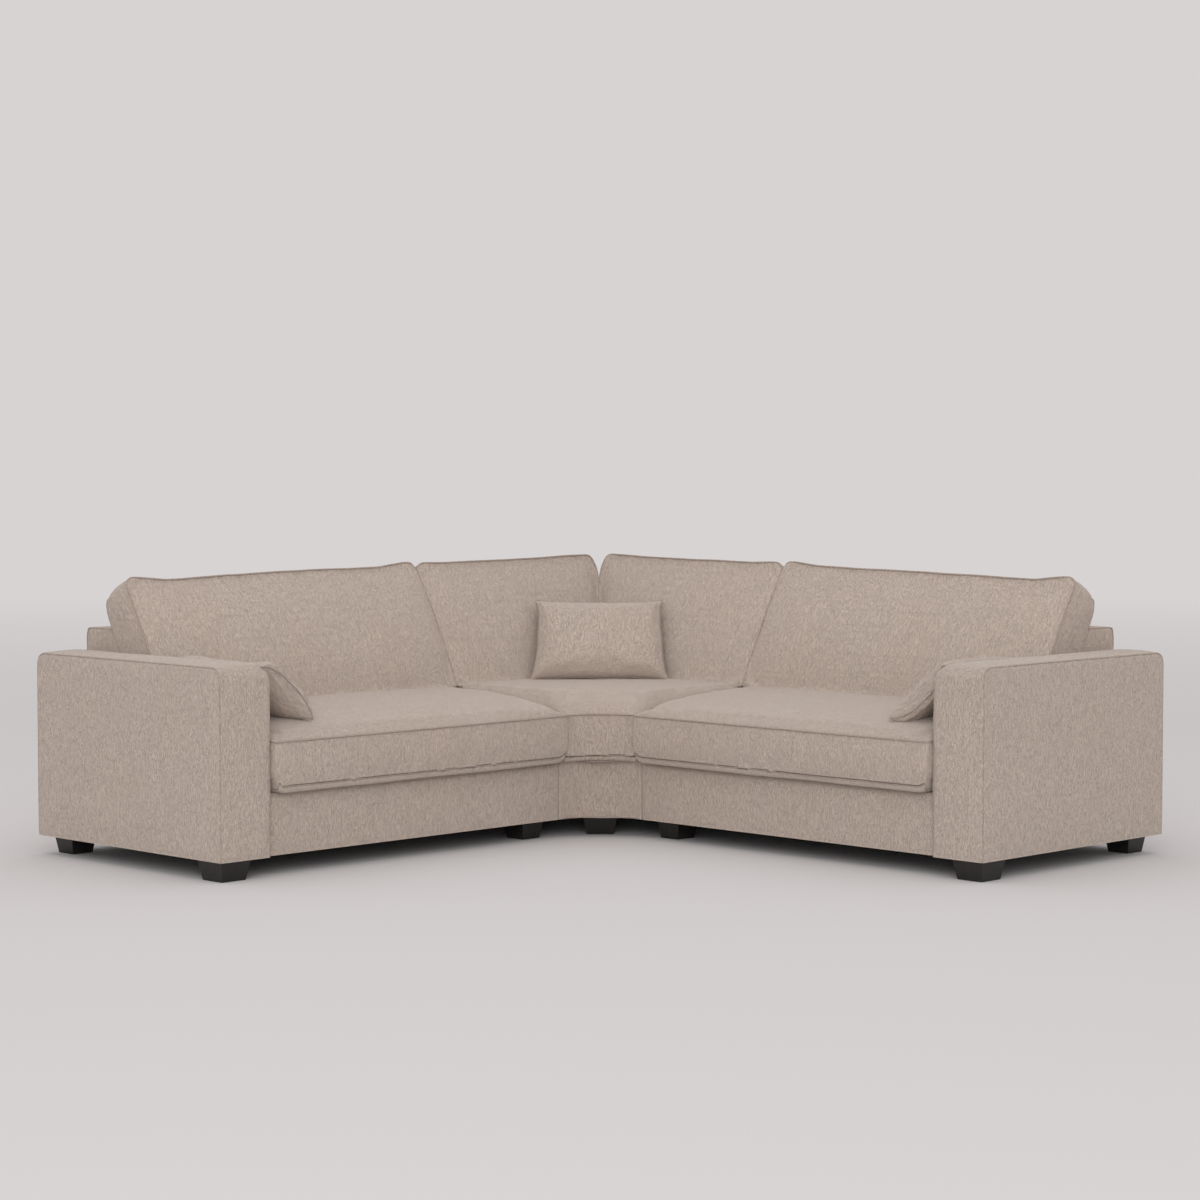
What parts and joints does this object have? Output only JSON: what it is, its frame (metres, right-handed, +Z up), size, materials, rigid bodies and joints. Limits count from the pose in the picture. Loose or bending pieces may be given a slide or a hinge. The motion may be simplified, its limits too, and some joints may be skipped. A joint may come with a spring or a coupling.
{
  "type": "corner sofa",
  "caption": "Corner sofa with equal wings round a coved corner module, loose boxed seat cushions, leaning back cushions, box arms, knife-edge pillows and tapered block feet.",
  "frame": {"origin": "on the floor under the middle of the square that the sofa fills", "axes": "+Z up; the outer corner is at -X +Y, the rear wing runs along X with its back at +Y, and the side wing runs along Y with its back at -X"},
  "size_m": [2.52, 2.52, 0.8739],
  "materials": {
    "weave": "beige slub weave with light flecks, matte",
    "dust_cloth": "thin black spun cloth",
    "webbing": "dark elastic webbing",
    "foot_stain": "near-black stained wood, satin",
    "zinc": "zinc-plated steel",
    "plywood": "raw plywood",
    "pine": "raw sawn softwood"
  },
  "bodies": {
    "sofa_frame": {"corner_back_rails": "pine", "corner_back_ribs": "plywood", "corner_back_sills": "pine", "corner_base_cover": "weave", "corner_cove_rail": "pine", "corner_cross_rails": "pine", "corner_dust_cover": "dust_cloth", "corner_feet": "foot_stain", "corner_foot_blocks": "pine", "corner_foot_studs": "zinc", "corner_rear_back_cover": "weave", "corner_side_back_cover": "weave", "corner_webbing": "webbing", "rear_arm_bolts": "zinc", "rear_arm_cover": "weave", "rear_arm_frame": "pine", "rear_back_cover": "weave", "rear_back_rails": "pine", "rear_back_ribs": "plywood", "rear_back_sill": "pine", "rear_base_cover": "weave", "rear_cross_rails": "pine", "rear_dust_cover": "dust_cloth", "rear_feet": "foot_stain", "rear_foot_blocks": "pine", "rear_foot_studs": "zinc", "rear_front_rail": "pine", "rear_joint_plates": "zinc", "rear_seat_webbing": "webbing", "side_arm_bolts": "zinc", "side_arm_cover": "weave", "side_arm_frame": "pine", "side_back_cover": "weave", "side_back_rails": "pine", "side_back_ribs": "plywood", "side_back_sill": "pine", "side_base_cover": "weave", "side_cross_rails": "pine", "side_dust_cover": "dust_cloth", "side_feet": "foot_stain", "side_foot_blocks": "pine", "side_foot_studs": "zinc", "side_front_rail": "pine", "side_joint_plates": "zinc", "side_seat_webbing": "webbing"},
    "corner_pillow_body": {"corner_pillow": "weave"},
    "corner_rear_back_cushion_body": {"corner_rear_back_cushion": "weave"},
    "corner_seat_cushion_body": {"corner_seat_cushion": "weave"},
    "corner_side_back_cushion_body": {"corner_side_back_cushion": "weave"},
    "rear_arm_pillow_body": {"rear_arm_pillow": "weave"},
    "rear_back_cushion_body": {"rear_back_cushion": "weave"},
    "rear_seat_cushion_body": {"rear_seat_cushion": "weave"},
    "side_arm_pillow_body": {"side_arm_pillow": "weave"},
    "side_back_cushion_body": {"side_back_cushion": "weave"},
    "side_seat_cushion_body": {"side_seat_cushion": "weave"}
  },
  "joints": [
    {"name": "side_seat_cushion_lift", "type": "slide", "parent": "sofa_frame", "child": "side_seat_cushion_body", "axis": [0, 0, 1], "range_m": [0, 0.5]},
    {"name": "corner_seat_cushion_lift", "type": "slide", "parent": "sofa_frame", "child": "corner_seat_cushion_body", "axis": [0, 0, 1], "range_m": [0, 0.5]},
    {"name": "rear_seat_cushion_lift", "type": "slide", "parent": "sofa_frame", "child": "rear_seat_cushion_body", "axis": [0, 0, 1], "range_m": [0, 0.5]},
    {"name": "side_back_cushion_lift", "type": "slide", "parent": "side_seat_cushion_body", "child": "side_back_cushion_body", "axis": [-0.4683, 0, 0.8836], "range_m": [0, 0.5]},
    {"name": "rear_back_cushion_lift", "type": "slide", "parent": "rear_seat_cushion_body", "child": "rear_back_cushion_body", "axis": [0, 0.4683, 0.8836], "range_m": [0, 0.5]},
    {"name": "corner_side_back_cushion_lift", "type": "slide", "parent": "corner_seat_cushion_body", "child": "corner_side_back_cushion_body", "axis": [-0.4683, 0, 0.8836], "range_m": [0, 0.5]},
    {"name": "corner_rear_back_cushion_lift", "type": "slide", "parent": "corner_seat_cushion_body", "child": "corner_rear_back_cushion_body", "axis": [0, 0.4683, 0.8836], "range_m": [0, 0.5]},
    {"name": "corner_pillow_lift", "type": "slide", "parent": "corner_seat_cushion_body", "child": "corner_pillow_body", "axis": [0, 0, 1], "range_m": [0, 0.45]},
    {"name": "side_arm_pillow_lift", "type": "slide", "parent": "side_seat_cushion_body", "child": "side_arm_pillow_body", "axis": [0, 0, 1], "range_m": [0, 0.45]},
    {"name": "rear_arm_pillow_lift", "type": "slide", "parent": "rear_seat_cushion_body", "child": "rear_arm_pillow_body", "axis": [0, 0, 1], "range_m": [0, 0.45]}
  ]
}
